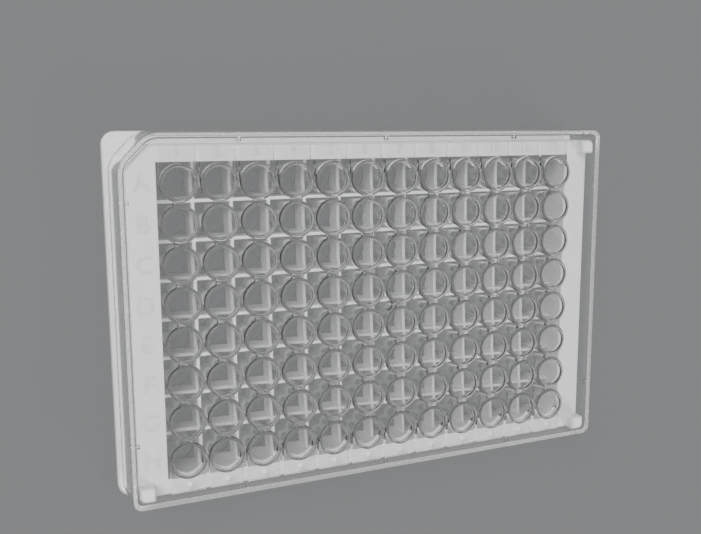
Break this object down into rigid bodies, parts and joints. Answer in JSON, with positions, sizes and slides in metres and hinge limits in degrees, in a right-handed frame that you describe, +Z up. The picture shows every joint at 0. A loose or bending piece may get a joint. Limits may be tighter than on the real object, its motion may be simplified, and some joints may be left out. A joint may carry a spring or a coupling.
{
  "type": "well plate",
  "caption": "Rectangular laboratory plate of flat-bottom wells in clear removable strips, held in an opaque frame under a clear lid.",
  "frame": {"origin": "middle of the base rim, on the surface that the plate stands on", "axes": "+Z up, +X along the long side from column 1 to column 12, +Y across towards row A"},
  "size_m": [0.1278, 0.0854, 0.0155],
  "materials": {
    "frame_plastic": "smooth moulded opaque white",
    "lid_clear": "polished clear polystyrene",
    "strip_clear": "polished clear polystyrene"
  },
  "bodies": {
    "root": {"frame": "frame_plastic", "lid": "lid_clear", "strip_01": "strip_clear", "strip_02": "strip_clear", "strip_03": "strip_clear", "strip_04": "strip_clear", "strip_05": "strip_clear", "strip_06": "strip_clear", "strip_07": "strip_clear", "strip_08": "strip_clear", "strip_09": "strip_clear", "strip_10": "strip_clear", "strip_11": "strip_clear", "strip_12": "strip_clear"}
  },
  "joints": []
}
